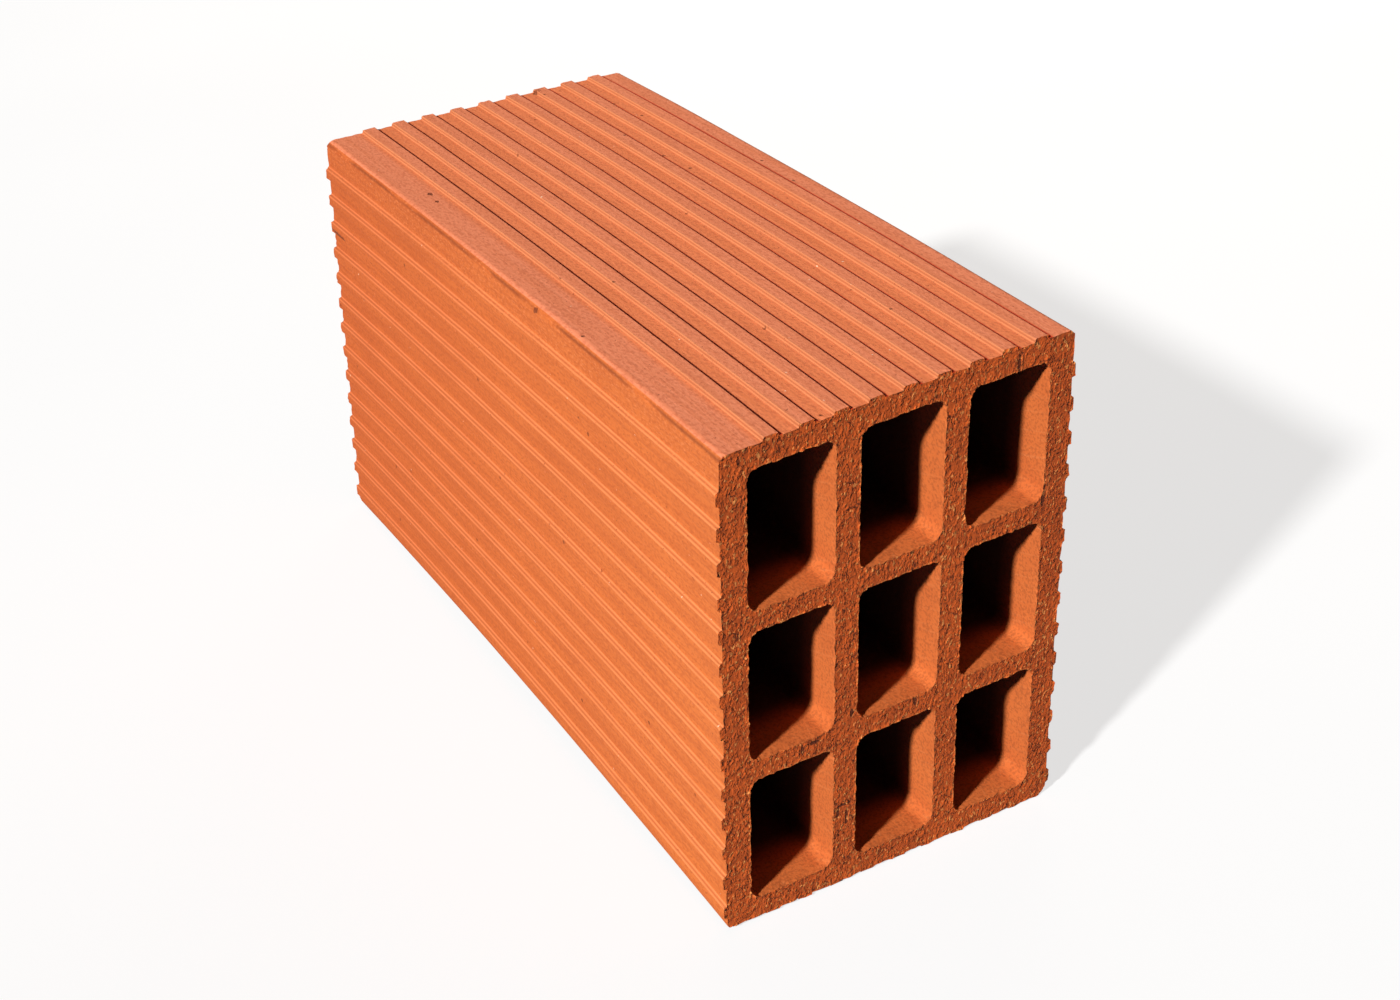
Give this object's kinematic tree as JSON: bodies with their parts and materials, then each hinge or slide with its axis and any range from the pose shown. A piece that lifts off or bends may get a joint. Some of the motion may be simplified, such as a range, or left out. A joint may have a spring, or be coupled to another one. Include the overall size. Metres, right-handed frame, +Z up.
{
  "type": "hollow clay brick",
  "caption": "Fired hollow clay brick with rectangular cells running along its length and ribbed faces that key mortar and plaster.",
  "frame": {"origin": "middle of the bottom bed, on the floor", "axes": "+Y along the length and the cells, +X across the width, +Z up"},
  "size_m": [0.14, 0.34, 0.19],
  "materials": {
    "fired_clay": "matte fired clay, orange, unglazed"
  },
  "bodies": {
    "root": {"brick": "fired_clay"}
  },
  "joints": []
}
